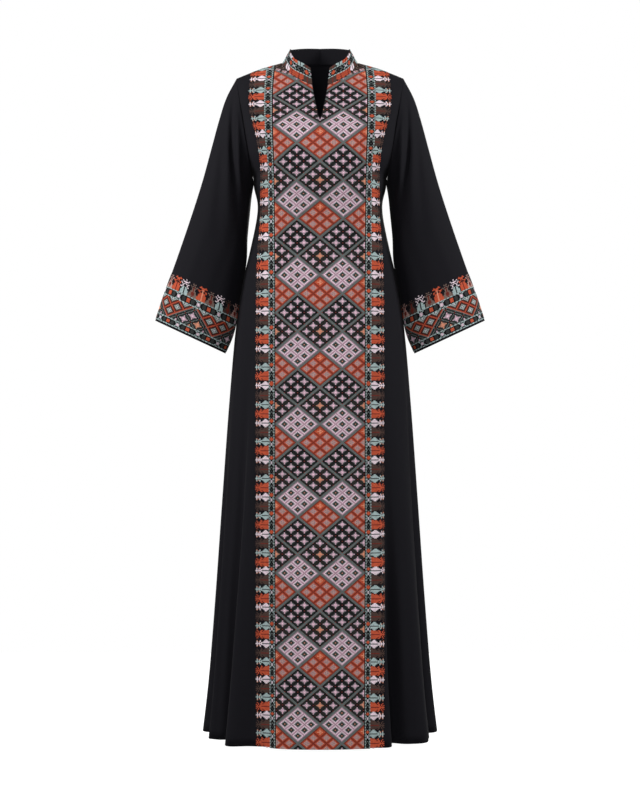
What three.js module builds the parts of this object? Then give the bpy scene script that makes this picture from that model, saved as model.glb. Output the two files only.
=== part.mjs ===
// A worn jalabiya: an ankle length A-line dress in black crepe with long flared
// sleeves, a stand collar and an open slit at the neck. Every piece that a maker
// would cut is its own solid: front, back, two sleeves and the collar.
// Millimetres. +Z is up, the front faces -Y, and the origin is in the middle of
// the neck opening, 3 mm below the inner ends of the shoulder seams.
import * as THREE from 'three';
import { mergeGeometries, mergeVertices } from 'three/addons/utils/BufferGeometryUtils.js';

// Driving sizes.
const WALL = 2;
const COLLAR_WALL = 2.4;
const SEAM_GAP = 0.3;
const NECK_POINT = { x: 82, z: 3 };
const SHOULDER_TIP = { x: 183, z: -30 };
const ARMPIT = { x: 148, z: -245 };
const NECK_FRONT = { x: 16.5, z: -58 };
const NECK_BACK = { z: 10 };
// The front neck edge rises evenly by this share, and the rest steeply at the side.
const NECK_EVEN = 0.5;
const NECK_STEEP = 6;
const SLIT_POINT = -136;
const SLIT_CURVE = 0.8;
const SHOULDER_BOW = 2.5;
const NAPE_RISE = 50;
const SHOULDER_ROUND = { front: 80, back: 60 };
const HEM = { front: -1467, side: -1460, back: -1462 };
const COLLAR = { heightFront: 38.5, heightSide: 30, heightBack: 36 };
const LEAN = { front: 5, side: 18, back: 5 };
const COLLAR_FLARE = 4;

// The part of the half width past which the folds die away at the side seam.
const FLAT_FROM = 0.985;

// How many steps each piece's grid has.
const BODICE_ROWS = 14;
const SKIRT_ROWS = 17;
const NECK_COLUMNS = 6;
const SHOULDER_COLUMNS = 10;
const SLEEVE_ROWS = 15;
const COLLAR_ROWS = 3;

// The body's section by height: half its width, how far it stands out to the
// front and the back, and the power of its rounded shape (2 is an ellipse).
const SECTIONS = [
  { z: 60, width: 215, front: 70, back: 56, power: 2.4 },
  { z: 0, width: 213, front: 72, back: 60, power: 2.4 },
  { z: -60, width: 205, front: 79, back: 72, power: 2.4 },
  { z: -110, width: 196, front: 93, back: 83, power: 2.4 },
  { z: -160, width: 186, front: 106, back: 90, power: 2.4 },
  { z: -205, width: 172, front: 114.5, back: 92, power: 2.35 },
  { z: -230, width: 159, front: 117, back: 91.5, power: 2.3 },
  { z: -245, width: 148, front: 117.5, back: 90.5, power: 2.3 },
  { z: -270, width: 145.3, front: 116, back: 88.5, power: 2.3 },
  { z: -306, width: 137.3, front: 111.5, back: 86.5, power: 2.3 },
  { z: -340, width: 139.3, front: 108.5, back: 88, power: 2.3 },
  { z: -407, width: 153.2, front: 109, back: 98, power: 2.25 },
  { z: -470, width: 168, front: 114.5, back: 110, power: 2.2 },
  { z: -565, width: 183.5, front: 123, back: 123, power: 2.2 },
  { z: -737, width: 199, front: 137, back: 137, power: 2.2 },
  { z: -950, width: 214.5, front: 153, back: 154, power: 2.2 },
  { z: -1177, width: 230.5, front: 172, back: 174, power: 2.2 },
  { z: -1353, width: 245, front: 186, back: 190, power: 2.2 },
  { z: -1500, width: 262, front: 198, back: 204, power: 2.2 },
];

// The skirt's folds. x is where a fold lies at the hem and top is where it lies
// at the height start, both as parts of the half width. A ridge stands out by
// depth at the hem and a valley, with a depth below zero, goes in.
const FRONT_LEFT_FOLDS = [
  { x: 0.45, top: 0.45, start: -1150, depth: -7, spread: 26 },
  { x: 0.69, top: 0.7, start: -560, depth: 30, spread: 28 },
  { x: 0.79, top: 0.78, start: -560, depth: -30, spread: 15 },
  { x: 0.89, top: 0.95, start: -560, depth: 10, spread: 15 },
  { x: 0.967, top: 0.98, start: -700, depth: -28, spread: 22 },
];
const FRONT_RIGHT_FOLDS = [
  { x: 0.545, top: 0.6, start: -760, depth: 13, spread: 26 },
  { x: 0.63, top: 0.66, start: -700, depth: -27, spread: 14 },
  { x: 0.8, top: 0.83, start: -560, depth: 25, spread: 34 },
  { x: 0.958, top: 0.97, start: -560, depth: -28, spread: 20 },
];
const BACK_LEFT_FOLDS = [
  { x: 0.2, top: 0.24, start: -640, depth: -18, spread: 20 },
  { x: 0.42, top: 0.46, start: -560, depth: 16, spread: 30 },
  { x: 0.62, top: 0.66, start: -560, depth: -22, spread: 17 },
  { x: 0.8, top: 0.82, start: -560, depth: 14, spread: 24 },
  { x: 0.93, top: 0.95, start: -620, depth: -17, spread: 16 },
];
const BACK_RIGHT_FOLDS = [
  { x: 0.12, top: 0.12, start: -700, depth: 12, spread: 26 },
  { x: 0.34, top: 0.4, start: -560, depth: -22, spread: 19 },
  { x: 0.55, top: 0.6, start: -560, depth: 15, spread: 28 },
  { x: 0.75, top: 0.78, start: -600, depth: -20, spread: 17 },
  { x: 0.9, top: 0.92, start: -640, depth: 9, spread: 18 },
];

// A sleeve from the armhole to the cuff, for the side with x above zero: the
// line under the arm, the line over the shoulder and the elbow, the middle's y
// and the half depths before and behind it.
const SLEEVE = [
  { underX: 148, underZ: -245, overX: 183, overZ: -30, middle: 0, front: 62, back: 55 },
  { underX: 148, underZ: -262, overX: 206, overZ: -74, middle: 0, front: 66, back: 59 },
  { underX: 150, underZ: -290, overX: 222, overZ: -124, middle: -1, front: 64, back: 60 },
  { underX: 153.5, underZ: -325, overX: 238, overZ: -183, middle: -2, front: 60, back: 58 },
  { underX: 158, underZ: -380, overX: 259, overZ: -260, middle: -4, front: 56, back: 56 },
  { underX: 163.5, underZ: -440, overX: 285, overZ: -342, middle: -6, front: 53, back: 54 },
  { underX: 178.6, underZ: -520, overX: 317, overZ: -436, middle: -9, front: 51, back: 53 },
  { underX: 191.5, underZ: -585, overX: 343, overZ: -508, middle: -11, front: 50, back: 52 },
  { underX: 207, underZ: -635, overX: 361, overZ: -563, middle: -12, front: 50, back: 52 },
];

// The folds that run from the armhole down a sleeve. along is where they start
// and end, in rows of the table above, and across is their place there, from 0
// under the arm to 1 over it. side is -1 on the front and 1 on the back.
const SLEEVE_FOLDS = [
  { side: -1, along: [0.1, 4.2], across: [0.9, 0.17], depth: -9, spread: 0.2 },
  { side: -1, along: [0.3, 3.4], across: [0.62, 0.1], depth: 5, spread: 0.16 },
  { side: -1, along: [0.6, 5.5], across: [0.97, 0.45], depth: -4, spread: 0.22 },
  { side: 1, along: [0.1, 3.8], across: [0.85, 0.2], depth: -9, spread: 0.2 },
  { side: 1, along: [0.8, 5.2], across: [0.95, 0.5], depth: -5, spread: 0.22 },
];

const mix = (a, b, t) => a + (b - a) * t;
const clamp = (t) => Math.min(Math.max(t, 0), 1);
const ease = (t) => clamp(t) ** 2 * (3 - 2 * clamp(t));

// A smooth curve through one column of a table whose rows are ordered by at().
function smooth(table, at, key) {
  const last = table.length - 1;
  const slope = (i) => {
    const a = table[Math.max(i - 1, 0)];
    const b = table[Math.min(i + 1, last)];
    return (b[key] - a[key]) / (at(b) - at(a));
  };
  return (t) => {
    let i = table.findIndex((row) => at(row) > t) - 1;
    if (i < 0) i = t < at(table[1]) ? 0 : last - 1;
    const span = at(table[i + 1]) - at(table[i]);
    const u = clamp((t - at(table[i])) / span);
    return (
      table[i][key] * (1 + 2 * u) * (1 - u) ** 2 +
      slope(i) * span * u * (1 - u) ** 2 +
      table[i + 1][key] * u * u * (3 - 2 * u) +
      slope(i + 1) * span * u * u * (u - 1)
    );
  };
}

const down = (row) => -row.z;
const section = {
  width: smooth(SECTIONS, down, 'width'),
  front: smooth(SECTIONS, down, 'front'),
  back: smooth(SECTIONS, down, 'back'),
  power: smooth(SECTIONS, down, 'power'),
};

// The ridge that the front and the back hang from: the shoulder seam, and past
// the neck point a steeper line up to the nape.
function ridge(x) {
  if (x < NECK_POINT.x) return NECK_POINT.z + NAPE_RISE * (1 - x / NECK_POINT.x);
  const t = (x - NECK_POINT.x) / (SHOULDER_TIP.x - NECK_POINT.x);
  return mix(NECK_POINT.z, SHOULDER_TIP.z, t) + SHOULDER_BOW * Math.sin(Math.PI * t);
}

// How far the cloth stands out from the middle plane at x and z.
function standOut(side, x, z) {
  const power = section.power(-z);
  const across = clamp(x / section.width(-z)) ** power;
  const below = clamp((ridge(x) - z) / SHOULDER_ROUND[side]);
  const rounded = Math.sqrt(1 - (1 - below) ** 2);
  return section[side](-z) * (1 - across) ** (1 / power) * rounded;
}

// How far the folds move the cloth at a part of the half width x and height z.
// Past FLAT_FROM they die away, so that the side seam stays in its plane.
function foldDepth(folds, part, z, halfWidth) {
  let sum = 0;
  for (const fold of folds) {
    const grown = ease((fold.start - z) / (fold.start - HEM.side));
    const centre = mix(fold.top, fold.x, clamp((fold.start - z) / (fold.start - HEM.side)));
    const away = ((Math.asin(clamp(part)) - Math.asin(centre)) * halfWidth) / fold.spread;
    sum += fold.depth * grown * Math.exp(-away * away);
  }
  return sum * (1 - ease((part - FLAT_FROM) / (1 - FLAT_FROM)));
}

// The bodice's levels, from 1 at its top edge to 0 at the armpit, closer at both
// ends, with one of them on the point of the neck slit.
const slitLevel = (SLIT_POINT - ARMPIT.z) / (NECK_FRONT.z - ARMPIT.z);
const levels = Array.from({ length: BODICE_ROWS + 1 }, (_, i) => {
  return (1 + Math.cos((Math.PI * i) / BODICE_ROWS)) / 2;
});
const nearest = levels.reduce((best, level, i) => {
  return Math.abs(level - slitLevel) < Math.abs(levels[best] - slitLevel) ? i : best;
}, 0);
levels[nearest] = slitLevel;

// Half the width of the neck slit at height z.
function slit(z) {
  return NECK_FRONT.x * clamp((z - SLIT_POINT) / (NECK_FRONT.z - SLIT_POINT)) ** SLIT_CURVE;
}

// The top edge of the front or the back, from the middle to the shoulder tip.
function topEdge(side, column) {
  if (column >= NECK_COLUMNS) {
    const x = mix(NECK_POINT.x, SHOULDER_TIP.x, (column - NECK_COLUMNS) / SHOULDER_COLUMNS);
    return { x, z: ridge(x) };
  }
  const turn = ((column / NECK_COLUMNS) * Math.PI) / 2;
  if (side === 'front') {
    const t = Math.sin(turn);
    const rise = NECK_EVEN * t + (1 - NECK_EVEN) * t ** NECK_STEEP;
    return { x: mix(NECK_FRONT.x, NECK_POINT.x, t), z: mix(NECK_FRONT.z, NECK_POINT.z, rise) };
  }
  const z = mix(NECK_POINT.z, NECK_BACK.z, Math.cos(turn) ** 2);
  return { x: NECK_POINT.x * Math.sin(turn), z };
}

const COLUMNS = NECK_COLUMNS + SHOULDER_COLUMNS;
const LEAVE = SEAM_GAP / 2;

// A point of the body with x above zero. Its row counts from the top edge: the
// bodice rows end at the armpit and the skirt rows at the hem.
function bodyPoint(side, folds, column, row) {
  const sign = side === 'front' ? -1 : 1;
  const turn = ((column / COLUMNS) * Math.PI) / 2;
  if (row <= BODICE_ROWS) {
    const level = levels[row];
    const top = topEdge(side, column);
    const z = mix(ARMPIT.z, top.z, level);
    const under = ARMPIT.x * Math.sin(turn) ** (2 / section.power(-ARMPIT.z));
    let x = mix(under, top.x, level);
    if (side === 'front') {
      x += (slit(z) - mix(0, NECK_FRONT.x, level)) * (1 - column / COLUMNS);
    }
    return new THREE.Vector3(x, sign * (LEAVE + standOut(side, x, z)), z);
  }
  const t = ((row - BODICE_ROWS) / SKIRT_ROWS) ** 1.25;
  const z = mix(ARMPIT.z, mix(HEM.side, HEM[side], Math.cos(turn) ** 2), t);
  const width = section.width(-z);
  const depth = section[side](-z);
  const power = 2 / section.power(-z);
  const fold = foldDepth(folds, Math.sin(turn) ** power, z, width);
  const normal = new THREE.Vector2(
    Math.sin(turn) ** (2 - power) / width,
    Math.cos(turn) ** (2 - power) / depth,
  ).normalize();
  const x = width * Math.sin(turn) ** power + fold * normal.x;
  const y = depth * Math.cos(turn) ** power + fold * normal.y;
  return new THREE.Vector3(x, sign * (LEAVE + y), z);
}

// A grid of points as an open sheet whose faces look outwards. pointAt(i, j)
// gives a point, and flip turns the faces round.
function grid(across, along, pointAt, flip) {
  const positions = [];
  const faces = [];
  for (let j = 0; j <= along; j += 1) {
    for (let i = 0; i <= across; i += 1) positions.push(...pointAt(i, j).toArray());
  }
  for (let j = 0; j < along; j += 1) {
    for (let i = 0; i < across; i += 1) {
      const a = j * (across + 1) + i;
      const c = a + across + 2;
      const first = [a, a + 1, c];
      const second = [a, c, c - 1];
      faces.push(...(flip ? first.reverse() : first), ...(flip ? second.reverse() : second));
    }
  }
  const sheet = new THREE.BufferGeometry();
  sheet.setAttribute('position', new THREE.Float32BufferAttribute(positions, 3));
  sheet.setIndex(faces);
  return sheet;
}

// Joins sheets whose edges meet and gives the joined sheet a wall. Its inner
// face lies wall inside it, and inward(point, direction) may turn the way in at
// a point on an edge, so that the wall ends flat against its neighbour.
function thicken(sheets, wall, inward) {
  const sheet = mergeVertices(mergeGeometries(sheets), 1e-3);
  sheet.computeVertexNormals();
  const { position, normal } = sheet.attributes;
  const outer = sheet.index.array;
  const count = position.count;
  const edges = new Map();
  for (let f = 0; f < outer.length; f += 3) {
    for (let k = 0; k < 3; k += 1) {
      const a = outer[f + k];
      const b = outer[f + ((k + 1) % 3)];
      if (!edges.delete(`${b},${a}`)) edges.set(`${a},${b}`, [a, b]);
    }
  }
  const onEdge = new Set([...edges.values()].flat());
  const points = Array.from(position.array);
  for (let i = 0; i < count; i += 1) {
    const point = new THREE.Vector3().fromBufferAttribute(position, i);
    const way = new THREE.Vector3().fromBufferAttribute(normal, i).negate();
    if (onEdge.has(i)) inward(point, way);
    points.push(...point.addScaledVector(way.normalize(), wall).toArray());
  }
  const faces = [...outer];
  for (let f = 0; f < outer.length; f += 3) {
    faces.push(outer[f] + count, outer[f + 2] + count, outer[f + 1] + count);
  }
  for (const [a, b] of edges.values()) {
    faces.push(b, a, a + count, b, a + count, b + count);
  }
  const solid = new THREE.BufferGeometry();
  solid.setAttribute('position', new THREE.Float32BufferAttribute(points, 3));
  solid.setIndex(faces);
  return solid;
}

const mirrored = (point, side) => point.setX(point.x * side);

// The armholes lie in two planes through the shoulder tips and the armpits.
const armholeNormal = new THREE.Vector3(
  SHOULDER_TIP.z - ARMPIT.z,
  0,
  ARMPIT.x - SHOULDER_TIP.x,
).normalize();
const isArmhole = (x, z) => {
  const away = (x - ARMPIT.x) * armholeNormal.x + (z - ARMPIT.z) * armholeNormal.z;
  return z > ARMPIT.z - 1 && Math.abs(away) < 0.6;
};

// At an armhole the body's wall stays on its own side of the armhole's plane.
// At the side and shoulder seams it ends square to the middle plane.
function bodyInward(point, way) {
  const side = Math.sign(point.x);
  if (isArmhole(point.x * side, point.z)) {
    const over = way.x * side * armholeNormal.x + way.z * armholeNormal.z;
    if (over > 0) {
      way.x -= over * armholeNormal.x * side;
      way.z -= over * armholeNormal.z;
    }
  }
  if (Math.abs(point.y) < 2 * LEAVE) way.y = 0;
}

function bodyPiece(side, leftFolds, rightFolds) {
  const rows = BODICE_ROWS + SKIRT_ROWS;
  const half = (sign, folds) => {
    const at = (i, j) => mirrored(bodyPoint(side, folds, i, j), sign);
    return grid(COLUMNS, rows, at, (side === 'front') === sign > 0);
  };
  return thicken([half(-1, leftFolds), half(1, rightFolds)], WALL, bodyInward);
}

const rowOf = (row) => SLEEVE.indexOf(row);
const sleeve = Object.fromEntries(
  Object.keys(SLEEVE[0]).map((key) => [key, smooth(SLEEVE, rowOf, key)]),
);

function sleeveFold(side, across, row) {
  let sum = 0;
  for (const fold of SLEEVE_FOLDS) {
    const t = (row - fold.along[0]) / (fold.along[1] - fold.along[0]);
    if (fold.side !== side || t <= 0 || t >= 1) continue;
    const centre = mix(fold.across[0], fold.across[1], t);
    const away = (Math.acos(2 * across - 1) - Math.acos(2 * centre - 1)) / fold.spread;
    sum += fold.depth * Math.sin(Math.PI * t) * Math.exp(-away * away);
  }
  return sum;
}

// A point of the right sleeve. around counts from the shoulder tip down the
// front to the armpit and back up behind, in the levels of the armhole.
function sleevePoint(around, row) {
  const count = 2 * BODICE_ROWS;
  const place = ((around % count) + count) % count;
  const side = place <= BODICE_ROWS ? -1 : 1;
  const across = levels[side < 0 ? place : count - place];
  const t = (row / SLEEVE_ROWS) * (SLEEVE.length - 1);
  const x = mix(sleeve.underX(t), sleeve.overX(t), across);
  const z = mix(sleeve.underZ(t), sleeve.overZ(t), across);
  const name = side < 0 ? 'front' : 'back';
  const armX = mix(ARMPIT.x, SHOULDER_TIP.x, across);
  const armZ = mix(ARMPIT.z, SHOULDER_TIP.z, across);
  const round = Math.sqrt(Math.max(1 - (2 * across - 1) ** 2, 0));
  const armhole = standOut(name, armX, armZ);
  const deep = mix(armhole, sleeve[name](t) * round, ease(t / 2));
  const leave = across > 0 && across < 1 ? LEAVE : 0;
  const fold = sleeveFold(side, across, t) * ease(t);
  const y = sleeve.middle(t) + side * (deep + fold * round + leave);
  return new THREE.Vector3(x, y, z).addScaledVector(armholeNormal, SEAM_GAP);
}

// At the armhole a sleeve's wall stays on the sleeve's side of the plane, and at
// the cuff it ends level with the cuff's edge.
function sleeveInward(side) {
  const first = SLEEVE[0];
  const last = SLEEVE[SLEEVE.length - 1];
  const cuff = new THREE.Vector3(last.overX - last.underX, 0, last.overZ - last.underZ).normalize();
  return (point, way) => {
    const x = point.x * side;
    const into = way.x * side * armholeNormal.x + way.z * armholeNormal.z;
    if (point.z > first.underZ - 1 && isArmhole(x - SEAM_GAP, point.z)) {
      if (into < 0) {
        way.x -= into * armholeNormal.x * side;
        way.z -= into * armholeNormal.z;
      }
      return;
    }
    const along = way.x * side * cuff.x + way.z * cuff.z;
    way.set(cuff.x * along * side, way.y, cuff.z * along);
  };
}

function sleevePiece(side) {
  const at = (i, j) => mirrored(sleevePoint(i, j), side);
  const tube = grid(2 * BODICE_ROWS, SLEEVE_ROWS, at, side < 0);
  return thicken([tube], WALL, sleeveInward(side));
}

// A point of the collar. around runs from the front end at x above zero over the
// back to the other front end, in the columns of the neck's edge.
function collarPoint(around, row) {
  const quarter = Math.floor(around / NECK_COLUMNS);
  const side = around <= 2 * NECK_COLUMNS ? 1 : -1;
  const place = side > 0 ? around : 4 * NECK_COLUMNS - around;
  const isFront = place <= NECK_COLUMNS;
  const column = isFront ? place : 2 * NECK_COLUMNS - place;
  const edge = topEdge(isFront ? 'front' : 'back', column);
  const y = standOut(isFront ? 'front' : 'back', edge.x, edge.z);
  const t = row / COLLAR_ROWS;
  const toSide = column / NECK_COLUMNS;
  const endHeight = isFront ? COLLAR.heightFront : COLLAR.heightBack;
  const height = mix(endHeight, COLLAR.heightSide, toSide ** 2);
  const lean = mix(isFront ? LEAN.front : LEAN.back, LEAN.side, toSide);
  const flare = isFront ? COLLAR_FLARE * t * clamp(1 - 4 * toSide) : 0;
  const foot = new THREE.Vector3(edge.x * side, isFront ? -y : y, edge.z + SEAM_GAP);
  const inward = new THREE.Vector3(-foot.x, -foot.y, 0).normalize();
  if (isFront && quarter !== 1 && column === 0) inward.x = 0;
  foot.addScaledVector(inward, lean * t);
  return foot.set(foot.x + side * flare, foot.y, foot.z + height * t);
}

function collarPiece() {
  const strip = grid(4 * NECK_COLUMNS, COLLAR_ROWS, collarPoint, false);
  return thicken([strip], COLLAR_WALL, (point, way) => way.setZ(0));
}

const crepe = new THREE.MeshStandardMaterial({ color: 0x17161c, roughness: 0.85, metalness: 0 });
const stitched = new THREE.MeshStandardMaterial({ color: 0x6e4438, roughness: 0.9, metalness: 0 });

const jalabiya = new THREE.Group();
function add(name, geometry, material) {
  const piece = new THREE.Mesh(geometry, material);
  piece.name = name;
  jalabiya.add(piece);
}
add('front', bodyPiece('front', FRONT_LEFT_FOLDS, FRONT_RIGHT_FOLDS), crepe);
add('back', bodyPiece('back', BACK_LEFT_FOLDS, BACK_RIGHT_FOLDS), crepe);
add('sleeve_left', sleevePiece(-1), crepe);
add('sleeve_right', sleevePiece(1), crepe);
add('collar', collarPiece(), stitched);

export default jalabiya;
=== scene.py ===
# %% [markdown]
# # A worn jalabiya
# A jalabiya is an ankle length dress. This one is sewn from black crepe: a front,
# a back, two long flared sleeves and a stand collar that is open at the throat.
# Its front panel, its cuffs and its collar are covered in counted cross stitch.
# The lesson makes the cloth first, as thin shells that follow the cut, and then
# the stitching, which is charted flat, as a stitcher would, and laid on the cloth.

# %% The frame
import math

import bmesh
import bpy
import numpy as np
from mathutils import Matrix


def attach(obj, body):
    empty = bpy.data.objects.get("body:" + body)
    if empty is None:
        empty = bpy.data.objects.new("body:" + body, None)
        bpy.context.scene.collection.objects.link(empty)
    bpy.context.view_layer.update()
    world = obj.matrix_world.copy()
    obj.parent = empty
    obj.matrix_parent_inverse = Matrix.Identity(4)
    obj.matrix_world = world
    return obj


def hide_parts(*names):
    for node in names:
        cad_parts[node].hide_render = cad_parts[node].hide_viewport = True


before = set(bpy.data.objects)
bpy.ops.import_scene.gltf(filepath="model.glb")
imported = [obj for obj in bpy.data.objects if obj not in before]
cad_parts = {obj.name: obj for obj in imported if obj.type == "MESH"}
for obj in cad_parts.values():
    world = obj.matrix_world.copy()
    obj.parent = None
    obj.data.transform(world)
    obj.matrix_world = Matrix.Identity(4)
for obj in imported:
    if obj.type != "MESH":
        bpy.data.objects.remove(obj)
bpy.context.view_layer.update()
scene = bpy.context.scene

# %% [markdown]
# ## The camera
# The dress is looked at squarely from the front, from a few paces away, so that
# its outline hardly changes with depth. A long lens at that distance fills the
# frame.

# %% The camera
CAMERA_AWAY = 3.8
CAMERA_HEIGHT = -0.737
LENS_MM = 77.7

camera = bpy.data.objects.new("camera", bpy.data.cameras.new("camera"))
camera.data.lens = LENS_MM
camera.location = (0, -CAMERA_AWAY, CAMERA_HEIGHT)
camera.rotation_euler = (math.radians(90), 0, 0)
scene.collection.objects.link(camera)
scene.camera = camera

# %% [markdown]
# ## The light
# Black cloth shows its folds only when most of the light comes from a few places.
# Two soft lamps stand beside the dress above the shoulders, a third fills the
# front evenly, a fourth the back, and the room adds a little from all round. The
# room looks pure white, but sends out far less light than that.

# %% The light
ROOM_LIGHT = 0.08
world = bpy.data.worlds.new("white_room")
scene.world = world
world.use_nodes = True
room = world.node_tree
room.nodes["Background"].inputs["Color"].default_value = (1, 1, 1, 1)
room.nodes["Background"].inputs["Strength"].default_value = ROOM_LIGHT
seen = room.nodes.new("ShaderNodeBackground")
seen.location = (0, -150)
choice = room.nodes.new("ShaderNodeMixShader")
choice.location = (250, 100)
path = room.nodes.new("ShaderNodeLightPath")
path.location = (0, 400)
room.links.new(path.outputs["Is Camera Ray"], choice.inputs["Fac"])
room.links.new(room.nodes["Background"].outputs[0], choice.inputs[1])
room.links.new(seen.outputs[0], choice.inputs[2])
room.links.new(choice.outputs[0], room.nodes["World Output"].inputs["Surface"])
seen.inputs["Color"].default_value = (1, 1, 1, 1)
scene.view_settings.view_transform = "Standard"


def soft_lamp(name, place, aim, power, size):
    lamp = bpy.data.objects.new(name, bpy.data.lights.new(name, "AREA"))
    lamp.data.energy = power
    lamp.data.size = size
    lamp.location = place
    toward = np.array(aim, float) - np.array(place, float)
    flat = math.hypot(toward[0], toward[1])
    lamp.rotation_euler = (math.atan2(flat, -toward[2]), 0, math.atan2(-toward[0], toward[1]))
    scene.collection.objects.link(lamp)


soft_lamp("lamp_left", (-2.2, -0.9, 0.9), (-0.2, 0, -0.4), 68, 0.9)
soft_lamp("lamp_right", (2.3, -0.8, 0.8), (0.2, 0, -0.4), 62, 0.9)
soft_lamp("lamp_front", (-0.4, -4.6, 0.1), (0, 0, -0.8), 58, 1.5)
soft_lamp("lamp_back", (0.9, 4.2, 0.6), (0, 0, -0.7), 100, 1.5)

# %% [markdown]
# ## Measures
# The cut is worked out in millimetres, the unit of a tape measure, and becomes
# metres when a point goes into a mesh. A garment is described well by a few level
# sections, with smooth curves drawn through them from the neck to the hem.

# %% Measures
MM = 0.001


def mix(a, b, t):
    return a + (b - a) * t


def clamp(t):
    return np.clip(t, 0.0, 1.0)


def ease(t):
    t = clamp(t)
    return t * t * (3 - 2 * t)


def smooth(at, values):
    """A smooth curve through values, one for each place in at."""
    at, values = np.array(at, float), np.array(values, float)
    last = len(at) - 1
    before = np.maximum(np.arange(last + 1) - 1, 0)
    after = np.minimum(np.arange(last + 1) + 1, last)
    slope = (values[after] - values[before]) / (at[after] - at[before])

    def curve(t):
        t = np.asarray(t, float)
        i = np.clip(np.searchsorted(at, t, side="right") - 1, 0, last - 1)
        span = at[i + 1] - at[i]
        u = clamp((t - at[i]) / span)
        start = values[i] * (1 + 2 * u) + slope[i] * span * u
        end = values[i + 1] * (3 - 2 * u) + slope[i + 1] * span * (u - 1)
        return start * (1 - u) ** 2 + end * u ** 2

    return curve


def columns(names, rows):
    """A table's columns by name."""
    return {name: [row[k] for row in rows] for k, name in enumerate(names)}


# %% [markdown]
# ## The body's cut
# The table gives the dress by height: half its width, how far it stands out to
# the front and to the back, and how square its rounded section is. It is widest
# at the shoulders, narrow at the waist, and flares in a straight A to the hem.

# %% The body's cut
NECK_POINT = (82, 3)
SHOULDER_TIP = (183, -30)
ARMPIT = (148, -245)
NECK_FRONT = (16.5, -58)
NECK_BACK_Z = 10
NECK_EVEN, NECK_STEEP = 0.5, 6
SLIT_POINT = -136
SLIT_CURVE = 0.8
SHOULDER_BOW = 2.5
NAPE_RISE = 50
SHOULDER_ROUND = {"front": 80, "back": 60}
HEM = {"front": -1467, "side": -1460, "back": -1462}
LEAVE = 0.02
FLAT_FROM = 0.985

SECTIONS = columns(("z", "width", "front", "back", "power"), [
    (60, 215, 70, 56, 2.4),
    (0, 213, 72, 60, 2.4),
    (-60, 205, 79, 72, 2.4),
    (-110, 196, 93, 83, 2.4),
    (-160, 186, 106, 90, 2.4),
    (-205, 172, 114.5, 92, 2.35),
    (-230, 159, 117, 91.5, 2.3),
    (-245, 148, 117.5, 90.5, 2.3),
    (-270, 145.3, 116, 88.5, 2.3),
    (-306, 137.3, 111.5, 86.5, 2.3),
    (-340, 139.3, 108.5, 88, 2.3),
    (-407, 153.2, 109, 98, 2.25),
    (-470, 168, 114.5, 110, 2.2),
    (-565, 183.5, 123, 123, 2.2),
    (-737, 199, 137, 137, 2.2),
    (-950, 214.5, 153, 154, 2.2),
    (-1177, 230.5, 172, 174, 2.2),
    (-1353, 245, 186, 190, 2.2),
    (-1500, 262, 198, 204, 2.2),
])
drop = [-z for z in SECTIONS["z"]]
section = {name: smooth(drop, SECTIONS[name]) for name in ("width", "front", "back", "power")}


def ridge(x):
    """The height of the line that the front and the back hang from."""
    t = (x - NECK_POINT[0]) / (SHOULDER_TIP[0] - NECK_POINT[0])
    shoulder = mix(NECK_POINT[1], SHOULDER_TIP[1], t) + SHOULDER_BOW * np.sin(np.pi * t)
    nape = NECK_POINT[1] + NAPE_RISE * (1 - x / NECK_POINT[0])
    return np.where(x < NECK_POINT[0], nape, shoulder)


def stand_out(side, x, z):
    """How far the cloth stands out from the middle plane."""
    power = section["power"](-z)
    across = clamp(x / section["width"](-z)) ** power
    below = clamp((ridge(x) - z) / SHOULDER_ROUND[side])
    return section[side](-z) * (1 - across) ** (1 / power) * np.sqrt(1 - (1 - below) ** 2)


# %% [markdown]
# ## The skirt's folds
# Below the hips the skirt has more cloth than it needs, so it falls in a few deep
# folds that open towards the hem. Each row is one fold: its place at the hem and
# at the top as parts of the half width, the height where it starts, its depth at
# the hem and its width. The two halves differ, as they do on a real skirt.

# %% The skirt's folds
FOLD_COLUMNS = ("x", "top", "start", "depth", "spread")
FOLDS = {
    ("front", -1): columns(FOLD_COLUMNS, [
        (0.45, 0.45, -1150, -7, 26),
        (0.69, 0.7, -560, 30, 28),
        (0.79, 0.78, -560, -30, 15),
        (0.89, 0.95, -560, 10, 15),
        (0.967, 0.98, -700, -28, 22),
    ]),
    ("front", 1): columns(FOLD_COLUMNS, [
        (0.545, 0.6, -760, 13, 26),
        (0.63, 0.66, -700, -27, 14),
        (0.8, 0.83, -560, 25, 34),
        (0.958, 0.97, -560, -28, 20),
    ]),
    ("back", -1): columns(FOLD_COLUMNS, [
        (0.2, 0.24, -640, -18, 20),
        (0.42, 0.46, -560, 16, 30),
        (0.62, 0.66, -560, -22, 17),
        (0.8, 0.82, -560, 14, 24),
        (0.93, 0.95, -620, -17, 16),
    ]),
    ("back", 1): columns(FOLD_COLUMNS, [
        (0.12, 0.12, -700, 12, 26),
        (0.34, 0.4, -560, -22, 19),
        (0.55, 0.6, -560, 15, 28),
        (0.75, 0.78, -600, -20, 17),
        (0.9, 0.92, -640, 9, 18),
    ]),
}


def fold_depth(folds, part, z, half_width):
    """How far the folds move the cloth, at a part of the half width."""
    total = 0
    for x, top, start, depth, spread in zip(*(folds[name] for name in FOLD_COLUMNS)):
        down = (start - z) / (start - HEM["side"])
        centre = mix(top, x, clamp(down))
        away = (np.arcsin(np.clip(part, -1, 1)) - np.arcsin(centre)) * half_width / spread
        total = total + depth * ease(down) * np.exp(-away ** 2)
    return total * (1 - ease((part - FLAT_FROM) / (1 - FLAT_FROM)))


# %% [markdown]
# ## Creases
# Between the deep folds the cloth has softer creases: drags from the armholes,
# a few breaks at the waist, and shallow ripples down the skirt. They are troughs
# and ridges laid along short lines, from one end to the other, and they die away
# at both ends. Every one has its own length, depth and width, because evenly made
# creases look like corrugated card.

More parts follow.
